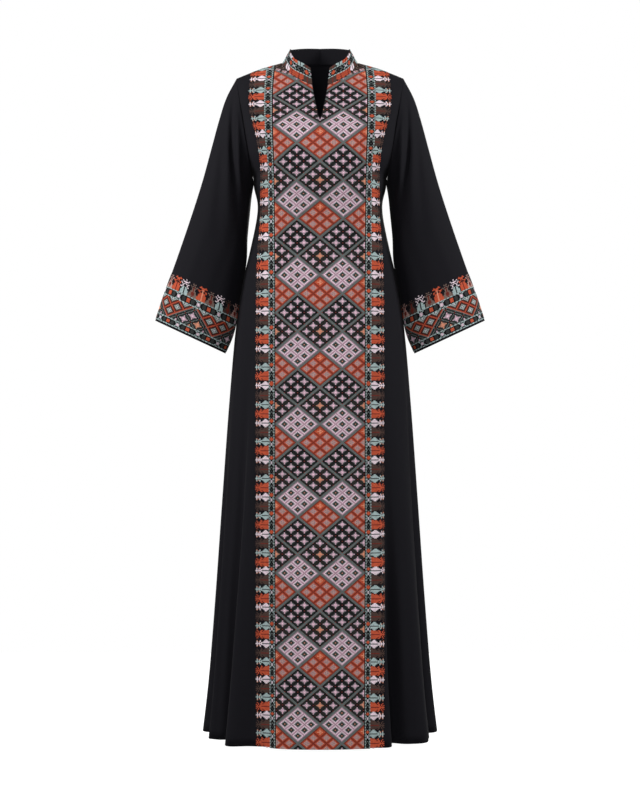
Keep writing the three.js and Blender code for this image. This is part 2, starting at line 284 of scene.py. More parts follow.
# %% Creases
CREASE_COLUMNS = ("x0", "z0", "x1", "z1", "depth", "spread")
CREASES = {
    ("front", -1): columns(CREASE_COLUMNS, [
        (176, -95, 132, -250, -2.4, 9),
        (168, -120, 118, -285, 1.8, 10),
        (150, -215, 96, -262, -1.4, 8),
        (138, -285, 104, -312, -1.2, 6),
        (139, -318, 98, -330, -1.1, 6),
        (150, -372, 176, -720, 1.6, 12),
        (163, -430, 205, -860, -2.0, 11),
        (184, -700, 214, -1240, 2.2, 12),
        (178, -980, 196, -1462, -2.6, 9),
        (213, -1040, 232, -1462, 2.0, 8),
        (142, -900, 152, -1464, 1.8, 12),
    ]),
    ("front", 1): columns(CREASE_COLUMNS, [
        (177, -88, 136, -236, -2.2, 9),
        (167, -135, 122, -292, 1.6, 11),
        (148, -228, 100, -256, -1.5, 7),
        (139, -300, 108, -322, -1.3, 6),
        (148, -360, 170, -640, -1.5, 12),
        (160, -420, 198, -900, 1.9, 12),
        (188, -760, 222, -1330, -2.3, 11),
        (170, -1010, 178, -1464, 1.8, 10),
        (206, -1120, 221, -1464, -2.0, 8),
        (140, -1020, 146, -1464, -1.6, 11),
    ]),
    ("back", -1): columns(CREASE_COLUMNS, [
        (172, -92, 96, -205, -2.6, 12),
        (160, -150, 78, -262, 2.0, 13),
        (150, -222, 84, -300, -1.8, 9),
        (132, -292, 40, -318, -2.0, 8),
        (136, -318, 62, -338, 1.6, 7),
        (128, -350, 92, -372, -1.2, 7),
        (60, -380, 74, -760, 2.0, 16),
        (118, -420, 150, -820, -2.2, 14),
        (30, -880, 34, -1460, -2.6, 14),
        (150, -860, 172, -1380, 2.2, 13),
        (196, -1000, 216, -1460, -2.0, 9),
    ]),
    ("back", 1): columns(CREASE_COLUMNS, [
        (174, -100, 104, -192, -2.3, 12),
        (158, -142, 70, -270, 1.8, 14),
        (152, -232, 92, -286, -1.6, 9),
        (130, -300, 30, -306, -1.7, 8),
        (138, -326, 70, -352, 1.5, 8),
        (96, -364, 66, -380, -1.2, 7),
        (84, -400, 104, -800, -2.0, 15),
        (140, -440, 172, -900, 2.1, 14),
        (60, -920, 66, -1440, 2.4, 15),
        (178, -940, 200, -1460, -2.2, 10),
        (120, -1060, 128, -1460, 1.8, 12),
    ]),
}
CREASES_FADE_TO = 26


def crease_lift(creases, x, z):
    """How far the creases move the cloth out at x and z."""
    total = 0
    for x0, z0, x1, z1, depth, spread in zip(*(creases[name] for name in CREASE_COLUMNS)):
        run, rise = x1 - x0, z1 - z0
        length = math.hypot(run, rise)
        along = ((x - x0) * run + (z - z0) * rise) / length ** 2
        away = ((x - x0) * rise - (z - z0) * run) / length
        total = total + depth * np.sin(np.pi * clamp(along)) * np.exp(-(away / spread) ** 2)
    return total


def body_line(side, half, turn, z):
    """The body's level line: x and the distance from the middle plane, by the turn
    from the middle (0) to the side seam (a quarter of a circle)."""
    width, depth = section["width"](-z), section[side](-z)
    power = 2 / section["power"](-z)
    part, rest = np.sin(turn) ** power, np.maximum(np.cos(turn), 0) ** power
    # A fold near the middle reaches over it into the other half.
    fold = fold_depth(FOLDS[side, half], part, z, width)
    fold = fold + fold_depth(FOLDS[side, -half], -part, z, width)
    out_x = np.sin(turn) ** (2 - power) / width
    out_y = np.maximum(np.cos(turn), 0) ** (2 - power) / depth
    length = np.hypot(out_x, out_y)
    x = width * part + fold * out_x / length
    rounded = stand_out(side, width * part, z) / np.maximum(depth * rest, 1e-9)
    y = depth * rest * np.where(z > ARMPIT[1], rounded, 1) + fold * out_y / length
    return x, y + crease_lift(CREASES[side, half], x, z) * clamp(y / CREASES_FADE_TO)


# %% [markdown]
# ## From a flat grid to cloth
# Every piece of cloth starts as a flat grid. A function says where each of its
# points lies on the dress, and a solidify modifier gives it the thickness of
# crepe, inwards, so that the outer face stays on the cut. Two halves are joined
# along the middle by merging the points that meet there.

# %% From a flat grid to cloth
CREPE_THICKNESS = 0.9 * MM
WELD = 0.05 * MM


def link(name, mesh):
    piece = bpy.data.objects.new(name, mesh)
    scene.collection.objects.link(piece)
    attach(piece, "root")
    return piece


def grid_points(bm, across, along, place):
    """Adds a grid, and moves each point from its place in the unit square."""
    made = bmesh.ops.create_grid(bm, x_segments=across, y_segments=along, size=0.5)["verts"]
    flat = np.array([v.co[:2] for v in made]) + 0.5
    for vert, point in zip(made, place(flat[:, 0], flat[:, 1]) * MM):
        vert.co = point


def cloth(name, bm, wall=CREPE_THICKNESS):
    """Welds the grids, faces them outwards and gives them a wall."""
    bmesh.ops.remove_doubles(bm, verts=bm.verts, dist=WELD)
    bmesh.ops.recalc_face_normals(bm, faces=bm.faces)
    outward = sum(f.normal.y * f.calc_center_median().y for f in bm.faces)
    if outward < 0:
        bmesh.ops.reverse_faces(bm, faces=bm.faces)
    mesh = bpy.data.meshes.new(name)
    area = sum(f.calc_area() for f in bm.faces)
    bm.to_mesh(mesh)
    bm.free()
    mesh.shade_smooth()
    piece = link(name, mesh)
    thickness = piece.modifiers.new("thickness", "SOLIDIFY")
    thickness.thickness = wall
    thickness.offset = -1
    print(f"{name}: {len(mesh.polygons)} faces, {area:.3f} square metres")
    return piece


# %% [markdown]
# ## The front and the back
# A grid column runs from the neck or the shoulder seam to the hem. Above the
# armpit the rows close up towards the shoulder, where the cloth turns over, and
# they close up again on both sides of the armpit. Near the hem the cloth stands
# out a little, where the hem is turned up.

# %% The front and the back
HALF_COLUMNS = 96
BODICE_ROWS = 44
SKIRT_ROWS = 112
NECK_SHARE = 6 / 16
ROWS_CLOSE_UP = 1.15
HEM_TURN_UP = 24
HEM_EDGE = 3
HEM_RELIEF = 0.5


def neck_rise(t):
    """How far the front neck edge has risen, for t from the slit (0) to the side:
    evenly at first, then steeply."""
    return NECK_EVEN * t + (1 - NECK_EVEN) * t ** NECK_STEEP


def slit(z):
    """Half the width of the neck slit."""
    part = clamp((z - SLIT_POINT) / (NECK_FRONT[1] - SLIT_POINT))
    return NECK_FRONT[0] * part ** SLIT_CURVE


def top_edge(side, column):
    """The top edge, column 0 in the middle and 1 at the shoulder tip."""
    neck = np.sin(clamp(column / NECK_SHARE) * np.pi / 2)
    shoulder = clamp((column - NECK_SHARE) / (1 - NECK_SHARE))
    if side == "front":
        neck_x = mix(NECK_FRONT[0], NECK_POINT[0], neck)
        neck_z = mix(NECK_FRONT[1], NECK_POINT[1], neck_rise(neck))
    else:
        neck_x, neck_z = NECK_POINT[0] * neck, mix(NECK_BACK_Z, NECK_POINT[1], neck ** 2)
    shoulder_x = mix(NECK_POINT[0], SHOULDER_TIP[0], shoulder)
    on_neck = column < NECK_SHARE
    return np.where(on_neck, neck_x, shoulder_x), np.where(on_neck, neck_z, ridge(shoulder_x))


def body_half(side, half):
    """A function that lays one half of the front or the back out."""
    rows = BODICE_ROWS + SKIRT_ROWS
    sign = -1 if side == "front" else 1

    def place(column, down):
        turn = column * np.pi / 2
        row = down * rows
        level = (1 + np.cos(np.pi * clamp(row / BODICE_ROWS))) / 2
        top_x, top_z = top_edge(side, column)
        z = mix(ARMPIT[1], top_z, level)
        under = ARMPIT[0] * np.sin(turn) ** (2 / section["power"](-ARMPIT[1]))
        x = mix(under, top_x, level)
        if side == "front":
            x = x + (slit(z) - NECK_FRONT[0] * level) * (1 - column)
        y = stand_out(side, x, z)
        y = y + crease_lift(CREASES[side, half], x, z) * clamp(y / CREASES_FADE_TO)
        below = ease(clamp((row - BODICE_ROWS) / SKIRT_ROWS) ** ROWS_CLOSE_UP * 0.5) * 2
        hem = mix(HEM["side"], HEM[side], np.cos(turn) ** 2)
        skirt_z = mix(ARMPIT[1], hem, below)
        skirt_x, skirt_y = body_line(side, half, turn, skirt_z)
        turned_up = ease((HEM_TURN_UP - (skirt_z - hem)) / HEM_EDGE) * HEM_RELIEF
        skirt_y = skirt_y + turned_up * clamp(skirt_y / CREASES_FADE_TO)
        on_skirt = row > BODICE_ROWS
        x, y, z = (np.where(on_skirt, a, b) for a, b in ((skirt_x, x), (skirt_y, y), (skirt_z, z)))
        return np.stack([half * x, sign * (LEAVE + y), z], axis=1)

    return place


def body_piece(side):
    bm = bmesh.new()
    for half in (-1, 1):
        grid_points(bm, HALF_COLUMNS, BODICE_ROWS + SKIRT_ROWS, body_half(side, half))
    return cloth(f"{side}_cloth", bm)


front_cloth = body_piece("front")
back_cloth = body_piece("back")
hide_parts("front")
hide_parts("back")

# %% [markdown]
# ## The sleeves
# A sleeve is a flared tube from the armhole to the cuff. The arm hangs away from
# the body, so the cloth drops from the shoulder in slanting folds that run from
# the armhole to the underarm, and the lower half hangs nearly smooth.

# %% The sleeves
SLEEVE_COLUMNS = ("under_x", "under_z", "over_x", "over_z", "middle", "front", "back")
SLEEVE = columns(SLEEVE_COLUMNS, [
    (148, -245, 183, -30, 0, 62, 55),
    (145.7, -262, 206, -74, 0, 66, 59),
    (150, -290, 222, -124, -1, 64, 60),
    (153.5, -325, 238, -183, -2, 60, 58),
    (158.7, -380, 259, -260, -4, 56, 56),
    (160.9, -433.3, 285, -342, -6, 53, 54),
    (171.4, -494, 317, -436, -9, 51, 53),
    (187.4, -585, 343, -508, -11, 50, 52),
    (207, -635, 361, -563, -12, 50, 52),
])
SLEEVE_END = 8
sleeve = {name: smooth(range(SLEEVE_END + 1), SLEEVE[name]) for name in SLEEVE_COLUMNS}
ARMHOLE_PLANE = np.array([215, 0, -35]) / math.hypot(215, 35)
SEAM_GAP = 0.3

SLEEVE_FOLD_COLUMNS = ("side", "start", "end", "across_start", "across_end", "depth", "spread")
SLEEVE_FOLDS = columns(SLEEVE_FOLD_COLUMNS, [
    (-1, 0.1, 4.2, 0.9, 0.17, -9, 0.2),
    (-1, 0.3, 3.4, 0.62, 0.1, 5, 0.16),
    (-1, 0.6, 5.5, 0.97, 0.45, -4, 0.22),
    (1, 0.1, 3.8, 0.85, 0.2, -9, 0.2),
    (1, 0.8, 5.2, 0.95, 0.5, -5, 0.22),
    (-1, 0.2, 2.6, 0.75, 0.3, -2.2, 0.1),
    (-1, 1.4, 4.6, 0.72, 0.3, 2.0, 0.14),
    (-1, 3.0, 6.4, 0.2, 0.34, -1.6, 0.13),
    (-1, 4.2, 7.9, 0.7, 0.78, 1.5, 0.16),
    (-1, 5.2, 8.6, 0.36, 0.3, -1.6, 0.16),
    (1, 0.3, 2.9, 0.6, 0.2, 4, 0.15),
    (1, 1.8, 5.0, 0.66, 0.3, 2.2, 0.14),
    (1, 3.4, 6.6, 0.3, 0.42, -2.0, 0.14),
    (1, 4.6, 8.6, 0.74, 0.66, -1.8, 0.17),
])
SLEEVE_AROUND = 96
SLEEVE_ALONG = 84
SLEEVE_ROWS_CLOSE_UP = 1.1
ARMHOLE_BLEND = 2
HEAD_PUFF = 1.2
PUFF_GROWS, PUFF_ENDS, PUFF_FADES = 0.12, 2, 1.5
AT_SEAM = 0.02


def sleeve_fold(side, across, row):
    total = 0
    table = zip(*(SLEEVE_FOLDS[name] for name in SLEEVE_FOLD_COLUMNS))
    for fold_side, start, end, across_start, across_end, depth, spread in table:
        t = (row - start) / (end - start)
        centre = mix(across_start, across_end, clamp(t))
        away = (np.arccos(2 * across - 1) - np.arccos(2 * centre - 1)) / spread
        on = (side == fold_side) & (t > 0) & (t < 1)
        total = total + np.where(on, depth * np.sin(np.pi * clamp(t)) * np.exp(-away ** 2), 0)
    return total


def sleeve_place(around, row):
    """A point of the right sleeve. around runs from 0 at the shoulder tip down the
    front to a half at the armpit, and up the back to 1. row is a row of the table."""
    across = (1 + np.cos(2 * np.pi * around)) / 2
    side = np.where(around % 1 <= 0.5, -1, 1)
    x = mix(sleeve["under_x"](row), sleeve["over_x"](row), across)
    z = mix(sleeve["under_z"](row), sleeve["over_z"](row), across)
    arm_x = mix(ARMPIT[0], SHOULDER_TIP[0], across)
    arm_z = mix(ARMPIT[1], SHOULDER_TIP[1], across)
    round_ = np.sqrt(clamp(1 - (2 * across - 1) ** 2))
    front, back = (stand_out(part, arm_x, arm_z) for part in ("front", "back"))
    armhole = np.where(side < 0, front, back)
    half_depth = np.where(side < 0, sleeve["front"](row), sleeve["back"](row))
    deep = mix(armhole, half_depth * round_, ease(row / ARMHOLE_BLEND))
    fold = sleeve_fold(side, across, row) * ease(row)
    puff = HEAD_PUFF * ease(row / PUFF_GROWS) * ease((PUFF_ENDS - row) / PUFF_FADES)
    lifted = (fold + puff) * round_ + LEAVE * (round_ > AT_SEAM)
    y = sleeve["middle"](row) + side * (deep + lifted)
    return np.stack([x, y, z], axis=1) + ARMHOLE_PLANE * SEAM_GAP


def sleeve_piece(name, half):
    def place(around, along):
        points = sleeve_place(around, SLEEVE_END * along ** SLEEVE_ROWS_CLOSE_UP)
        return points * (half, 1, 1)

    bm = bmesh.new()
    grid_points(bm, SLEEVE_AROUND, SLEEVE_ALONG, place)
    return cloth(name, bm)


sleeve_left_cloth = sleeve_piece("sleeve_left_cloth", -1)
sleeve_right_cloth = sleeve_piece("sleeve_right_cloth", 1)
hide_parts("sleeve_left")
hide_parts("sleeve_right")

# %% [markdown]
# ## The collar
# The stand collar is a straight strip of stiffened cloth that is sewn into the
# neck edge, from one side of the slit round the back to the other. It leans in a
# little as it rises, most at the sides.

# %% The collar
COLLAR_HEIGHT = {"front": 38.5, "side": 30, "back": 36}
COLLAR_LEAN = {"front": 5, "side": 18, "back": 5}
COLLAR_FLARE = 4
LEAN_STEEP, FLARE_STEEP = 6, 4
COLLAR_THICKNESS = 2.2 * MM
SEAM_TUCK = 0.6
WITHIN_NECK = NECK_SHARE * 0.999999


def collar_place(half, way, up):
    """A point of the collar: way runs from 0 at the front end to 1 at the nape, and
    up from 0 at the neck seam to 1 at the top."""
    in_front = way <= 0.5
    toward_side = np.where(in_front, 2 * way, 2 - 2 * way)
    front_x, front_z = top_edge("front", toward_side * WITHIN_NECK)
    back_x, back_z = top_edge("back", toward_side * WITHIN_NECK)
    x, z = np.where(in_front, front_x, back_x), np.where(in_front, front_z, back_z)
    y = np.where(in_front, -stand_out("front", x, z), stand_out("back", x, z))
    end_lean = np.where(in_front, COLLAR_LEAN["front"], COLLAR_LEAN["back"])
    lean = mix(end_lean, COLLAR_LEAN["side"], toward_side) * up
    in_x = -x * np.where(in_front, clamp(toward_side * LEAN_STEEP), 1)
    away = np.maximum(np.hypot(in_x, y), 1e-9)
    end_height = np.where(in_front, COLLAR_HEIGHT["front"], COLLAR_HEIGHT["back"])
    height = mix(end_height, COLLAR_HEIGHT["side"], toward_side ** 2)
    flare = np.where(in_front, COLLAR_FLARE * up * clamp(1 - FLARE_STEEP * toward_side), 0)
    x, y = x + in_x / away * lean + flare, y - y / away * lean
    x = x * (1 - np.where(up == 0, SEAM_TUCK / np.maximum(np.hypot(x, y), 1), 0))
    y = y * (1 - np.where(up == 0, SEAM_TUCK / np.maximum(np.hypot(x, y), 1), 0))
    return np.stack([half * x, y, z - np.where(up == 0, SEAM_TUCK, 0) + height * up], axis=1)


COLLAR_AROUND = 60
COLLAR_UP = 10
bm = bmesh.new()
for half in (-1, 1):
    grid_points(bm, COLLAR_AROUND, COLLAR_UP, lambda way, up: collar_place(half, way, up))
collar_cloth = cloth("collar_cloth", bm, COLLAR_THICKNESS)
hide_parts("collar")

# %% [markdown]
# ## Crepe
# Crepe is matt and very finely pebbled, because its yarns are twisted hard. A dark
# cloth shows its form mostly by sheen, the pale bloom where it turns away, so the
# shader has a low gloss and a soft sheen. Two sizes of noise give the pebbling
# and the slight slubs along the yarn.

# %% Crepe
def node_of(material, kind, place, **values):
    node = material.node_tree.nodes.new(kind)
    node.location = place
    for name, value in values.items():
        if name in node.inputs:
            node.inputs[name].default_value = value
        else:
            setattr(node, name, value)
    return node


def fabric(name, colour, roughness, sheen, specular):
    material = bpy.data.materials.new(name)
    material.use_nodes = True
    shader = material.node_tree.nodes["Principled BSDF"]
    shader.inputs["Base Color"].default_value = (*colour, 1)
    shader.inputs["Roughness"].default_value = roughness
    shader.inputs["Sheen Weight"].default_value = sheen
    shader.inputs["Sheen Roughness"].default_value = 0.5
    shader.inputs["Specular IOR Level"].default_value = specular
    return material, shader


CREPE_COLOUR = (0.0072, 0.0068, 0.0095)
crepe, shader = fabric("crepe", CREPE_COLOUR, 0.8, 0.02, 0.1)
links = crepe.node_tree.links
place = node_of(crepe, "ShaderNodeTexCoord", (-900, 0))
pebble = node_of(crepe, "ShaderNodeTexNoise", (-700, 100), Scale=1400.0, Detail=2.0)
slub = node_of(crepe, "ShaderNodeTexNoise", (-700, -200), Scale=160.0, Detail=3.0)
links.new(place.outputs["Object"], pebble.inputs["Vector"])
links.new(place.outputs["Object"], slub.inputs["Vector"])
fine = node_of(crepe, "ShaderNodeBump", (-400, 100), Strength=0.35, Distance=0.0003)
soft = node_of(crepe, "ShaderNodeBump", (-200, 0), Strength=0.25, Distance=0.0006)
links.new(pebble.outputs["Fac"], fine.inputs["Height"])
links.new(slub.outputs["Fac"], soft.inputs["Height"])
links.new(fine.outputs["Normal"], soft.inputs["Normal"])
links.new(soft.outputs["Normal"], shader.inputs["Normal"])

for piece in (front_cloth, back_cloth, sleeve_left_cloth, sleeve_right_cloth, collar_cloth):
    piece.data.materials.append(crepe)

# %% [markdown]
# ## Threads
# The stitching uses sixteen cotton threads. Each has a letter, which the charts
# below use, and its colour as it looks in daylight. A bare square has no stitch.

# %% Threads
THREADS = {
    "K": (14, 13, 15),
    "S": (50, 52, 52),
    "G": (98, 106, 105),
    "A": (165, 184, 184),
    "W": (228, 212, 220),
    "P": (206, 172, 188),
    "M": (146, 122, 134),
    "D": (178, 142, 134),
    "E": (212, 144, 116),
    "O": (190, 84, 56),
    "R": (112, 42, 34),
    "B": (76, 58, 52),
    "Q": (150, 62, 44),
    "N": (33, 36, 35),
    "L": (48, 37, 34),
    "U": (118, 98, 90),
}
THREAD_NUMBER = {letter: number for number, letter in enumerate(THREADS)}
BARE = "."


def linear(colour):
    """Daylight values of 0 to 255 as the light that they send back."""
    c = np.array(colour) / 255
    return np.where(c <= 0.04045, c / 12.92, ((c + 0.055) / 1.055) ** 2.4)


thread_colours = np.array([linear(colour) for colour in THREADS.values()])

# %% [markdown]
# ## The chart of a diamond
# The field is a lattice of large diamonds, 20 stitches from the middle to a point,
# inside a grey border. Each holds nine small diamonds of 6 stitches, which share
# their edge lines. There are four kinds, row by row: pale, orange, black with pink
# stars, and black with a peach star in the middle. u and v count stitches from the
# middle stitch of the diamond, and p and q from that of the small one.

# %% The chart of a diamond
HALF_DIAMOND = 20
BORDER_FROM = 19
CELL = 6


def cell_of(u, v):
    """The small diamond that a stitch is in, and the stitch's place in it."""
    a, b = round((u + v) / (2 * CELL)), round((u - v) / (2 * CELL))
    return (a, b), int(u - CELL * (a + b)), int(v - CELL * (a - b))


PALE_RINGS = "ESSGWPM"
ORANGE_RINGS = {"plain": "DDDDOQR", "warm": "EEEOOQR"}


def pale_cell(p, q):
    return PALE_RINGS[abs(p) + abs(q)]


def orange_cell(cell, p, q):
    ring = abs(p) + abs(q)
    warm = cell == (-1, 1)
    if ring <= 3 and (p + 2 * q) % 4 == 1:
        return "O" if warm else "M"
    return ORANGE_RINGS["warm" if warm else "plain"][ring]


def star_cell(p, q, star, line):
    ring, near = abs(p) + abs(q), min(abs(p), abs(q))
    if ring <= 2 or ring == 3 and near == 0:
        return "W" if ring == 0 and star == "P" else star
    if ring == 3:
        return "G" if star == "P" else "U"
    if ring == CELL:
        return "R" if near == 0 else line
    return "N" if ring >= CELL - 2 and near >= 1 else "K"


def diamond_stitch(kind, u, v):
    if abs(u) + abs(v) >= BORDER_FROM:
        return "G"
    cell, p, q = cell_of(u, v)
    if kind == "pale":
        return pale_cell(p, q)
    if kind == "orange":
        return orange_cell(cell, p, q)
    if kind == "stars":
        return star_cell(p, q, "P", "K")
    return star_cell(p, q, "E" if cell == (0, 0) else "P", "L")


KINDS = ("pale", "orange", "stars", "mixed stars")


# Beside the neck the field ends at a sloping grey line, from the slit to the band,
# and the rows above it are a strip of pale and dark blocks.
TOP_LINE = ((8, 20, 40), (-55.5, -63, -76))
TOP_STRIP = ["MPMDUK", "PUDMKB", "KBKKBB", "BKBUKB", "KBBKUK", "BBKBBK"]


def top_strip_stitch(u, above):
    """The letter at a number of stitches above the grey line."""
    if above < 2:
        return "G"
    line = TOP_STRIP[min(int(above - 2) // 2, len(TOP_STRIP) - 1)]
    return line[int(abs(u)) % len(line)]


def lattice_stitch(u, v):
    """The field's stitch, u from the middle and v down from the first pale row."""
    above = np.interp(abs(u), *TOP_LINE) - v
    if above > 0:
        return top_strip_stitch(u, above)
    a, b = round(u / HALF_DIAMOND), round(v / HALF_DIAMOND)
    if (a + b) % 2 == 0:
        du, dv = u - a * HALF_DIAMOND, v - b * HALF_DIAMOND
        if abs(du) > abs(dv):
            a += 1 if du > 0 else -1
        else:
            b += 1 if dv > 0 else -1
    return diamond_stitch(KINDS[b % 4], u - a * HALF_DIAMOND, v - b * HALF_DIAMOND)


# %% [markdown]
# ## The chart of the edge
# Beside the field runs a narrow band between two pale lines, with a black drop, an
# orange dot and a cross in turn. Outside it stand small plants, side by side: a
# body on the band, a dark stem, and a crown of rays at the tip. White and pale
# green ones are slim, orange and brown ones broad. The charts are written out,
# one letter for each stitch.

# %% The chart of the edge
BAND = [
    "KGGK", "GKKG", "GKKG", "KKKK", "KSSK", "KKKK", "GKKG", "KGGK", "KOOK", "OOOO",
    "OOOO", "KOOK", "GKKG", "AKKA", "KAPK", "KPAK", "KAPK", "AKKA", "GKKG", "KKKK",
]
BAND_DOT = 10
# A plant's lines run from its stem to its side, and its letters from the band to
# the tip. C is the plant's own thread and T its stem.
SLIM_PLANT = [
    "TTTTTTTCCCCCC", "CCCCCCCC.C.C.", "CCCCCC..CE.C.", ".CCCC...C..E.", "..CC.........",
    "B.........B..",
]
BROAD_PLANT = [
    "TTTTTTTTCCCCC", "CCCCCCCCCC.C.", "CCCCCCCCC.C.C", "CCCCCC.CC.C..", "CCCCC.CC...C.",
    "CC.C...C.....",
]
PLANTS = [
    ("O", "R", BROAD_PLANT), ("W", "S", SLIM_PLANT),
    ("B", "R", BROAD_PLANT), ("A", "S", SLIM_PLANT),
]
FIELD_HALF = 40
BAND_WIDTH = 6
PLANT_LENGTH = 13
PANEL_HALF = FIELD_HALF + 1 + BAND_WIDTH + PLANT_LENGTH

# The row of every stem: nine to the plant at the bust, where the cloth rounds
# over, and ten below it.
PLANT_MARKS = columns(("plant", "row"), [
    (-4, -110), (0, -74), (2, -58), (4, -40), (8, 0), (16, 71), (20, 108), (24, 149),
    (32, 228), (43, 339), (55, 459), (65, 556), (76, 661), (80, 699),
])
FIRST_PLANT, LAST_PLANT = PLANT_MARKS["plant"][0], PLANT_MARKS["plant"][-1]
plant_numbers = np.arange(FIRST_PLANT, LAST_PLANT + 1)
stem_rows = np.interp(plant_numbers, PLANT_MARKS["plant"], PLANT_MARKS["row"])
stem_rows = np.round(stem_rows).astype(int)


def plant_letter(plant, off, out):
    colour, stem, chart = plant
    letter = chart[min(int(off), len(chart) - 1)][int(out)]
    return {"C": colour, "T": stem}.get(letter, letter)


def band_letter(v, column):
    """The band's motif takes as many rows as two plants, with its dot above the
    stem of a white or a pale green one."""
    k = int(np.searchsorted(stem_rows, v + 2, side="right")) - 1
    k -= (k + FIRST_PLANT + 1) % 2
    part = (v + 2 - stem_rows[k]) / (stem_rows[k + 2] - stem_rows[k])
    return BAND[int(part * len(BAND) + BAND_DOT) % len(BAND)][column]


def panel_stitch(u, v):
    """The letter of the front panel's stitch, u from the middle and v down."""
    out = abs(u) - FIELD_HALF
    if out <= 0:
        return lattice_stitch(u, v)
    if out == 1:
        return "K"
    if out <= 1 + BAND_WIDTH:
        edge = out in (2, 1 + BAND_WIDTH)
        return "GGA"[int(v) % 3] if edge else band_letter(v, int(out - 3))
    k = int(np.searchsorted(stem_rows, v))
    if v - stem_rows[k - 1] < stem_rows[k] - v:
        k -= 1
    plant = PLANTS[(k + FIRST_PLANT) % len(PLANTS)]
    return plant_letter(plant, abs(v - stem_rows[k]), out - 2 - BAND_WIDTH)


# %% [markdown]
# ## Laying the chart on the cloth
# A stitch is one square of the charted cloth, so the stitching is again a grid.
# Squares without a stitch are cut away. Each stitch is poked, which raises its
# middle, because a cross stitch is a small hard bump of crossed threads. Then the
# chart is laid on the dress and moved out by the thickness of the thread, and
# every stitch carries its thread's colour as an attribute, slightly uneven, as
# cotton is.

# %% Laying the chart on the cloth
THREAD_LIFT = 0.5
STITCH_RAISE = 0.45
NEAR_MIDDLE = 0.25
TUBE_OFF_MIDDLE = 40 * MM
BAKE_MARGIN = 0.004
UNEVEN = 0.16
COTTON_SEED = 31
rng = np.random.default_rng(COTTON_SEED)


def stitching(name, across, along, letter_at, place):
    """Makes a piece of stitching. across and along are the first and last stitch,
    letter_at(u, v) is the chart, and place(u, v) gives the points on the cloth."""
    columns_, rows = across[1] - across[0] + 1, along[1] - along[0] + 1
    bm = bmesh.new()
    bmesh.ops.create_grid(bm, x_segments=columns_, y_segments=rows, size=0.5)
    for vert in bm.verts:
        u = round((vert.co.x + 0.5) * columns_) + across[0] - 0.5
        v = round((vert.co.y + 0.5) * rows) + along[0] - 0.5
        vert.co = (u, v, 0)
    bare = []
    for face in bm.faces:
        middle = face.calc_center_median()
        letter = letter_at(round(middle.x), round(middle.y))
        if letter == BARE:
            bare.append(face)
        else:
            face.material_index = THREAD_NUMBER[letter]
    bmesh.ops.delete(bm, geom=bare, context="FACES")
    stitches = len(bm.faces)
    bmesh.ops.poke(bm, faces=bm.faces, offset=0)
    mesh = bpy.data.meshes.new(name)
    bm.to_mesh(mesh)
    bm.free()
    flat = np.empty(len(mesh.vertices) * 3)
    mesh.vertices.foreach_get("co", flat)
    flat = flat.reshape(-1, 3)
    colour_stitches(mesh, flat, across, along)
    points = place(flat[:, 0], flat[:, 1]) * MM
    mesh.vertices.foreach_set("co", points.ravel())
    mesh.update()
    normals = np.empty(len(mesh.vertices) * 3)
    mesh.vertex_normals.foreach_get("vector", normals)
    normals = normals.reshape(-1, 3)
    raised = np.abs(flat[:, 0] - np.round(flat[:, 0])) < NEAR_MIDDLE
    lift = (THREAD_LIFT + STITCH_RAISE * raised) * MM
    if wants_flip(points, normals):
        mesh.flip_normals()
        normals = -normals
    mesh.vertices.foreach_set("co", (points + normals * lift[:, None]).ravel())
    mesh.update()
    piece = link(name, mesh)
    print(f"{name}: {stitches} stitches")
    return piece


def wants_flip(points, normals):
    """Whether the faces look inwards, towards the middle of the piece."""
    centre = (points.min(axis=0) + points.max(axis=0)) / 2
    if abs(centre[1]) > TUBE_OFF_MIDDLE:
        centre[1] = 0
    return ((points - centre)[:, :2] * normals[:, :2]).sum() < 0


def colour_stitches(mesh, flat, across, along):
    """Gives every corner its thread's colour and its place in the chart."""
    count = len(mesh.polygons)
    number = np.empty(count, int)
    mesh.polygons.foreach_get("material_index", number)
    mesh.polygons.foreach_set("material_index", np.zeros(count, int))
    corner = np.empty(len(mesh.loops), int)
    mesh.loops.foreach_get("vertex_index", corner)
    total = np.empty(count, int)
    mesh.polygons.foreach_get("loop_total", total)
    face = np.repeat(np.arange(count), total)
    middle = np.stack([np.bincount(face, flat[corner, k]) / total for k in (0, 1)], axis=1)
    cell = np.round(middle).astype(int) - (across[0], along[0])
    shade = 1 + UNEVEN * rng.uniform(-1, 1, (across[1] - across[0] + 1, along[1] - along[0] + 1))
    colours = thread_colours[number] * shade[cell[:, 0], cell[:, 1], None]
    rgba = np.column_stack([colours, np.ones(count)])[face]
    thread = mesh.color_attributes.new("thread", "FLOAT_COLOR", "CORNER")
    thread.data.foreach_set("color", rgba.ravel())
    chart = mesh.uv_layers.new(name="chart")
    chart.uv.foreach_set("vector", flat[corner, :2].ravel())
    lay_out_blocks(mesh, flat[corner, :2], cell[face], across, along)


def lay_out_blocks(mesh, corner, cell, across, along):
    """A second map, with the long chart cut in blocks that lie side by side."""
    columns_, rows = across[1] - across[0] + 1, along[1] - along[0] + 1
    blocks = max(1, round(math.sqrt(max(rows / columns_, columns_ / rows))))
    long_side = 1 if rows > columns_ else 0
    length = math.ceil(max(rows, columns_) / blocks)
    block = cell[:, long_side] // length
    own = corner - (across[0] - 0.5, along[0] - 0.5)
    own[:, long_side] -= block * length
    own[:, 1 - long_side] += block * (min(rows, columns_) + 1)
    span = [0, 0]
    span[long_side] = length
    span[1 - long_side] = blocks * (min(rows, columns_) + 1)
    blocks_map = mesh.uv_layers.new(name="OFBake")
    laid_out = BAKE_MARGIN + (1 - 2 * BAKE_MARGIN) * own / span
    blocks_map.uv.foreach_set("vector", laid_out.ravel())


# %% [markdown]
# ## The front panel
# The chart's rows are level lines down the front, two millimetres apart, and its
# columns are counted along the cloth from the middle, so that the stitches keep
# their width where the cloth turns away at the sides and in the folds.

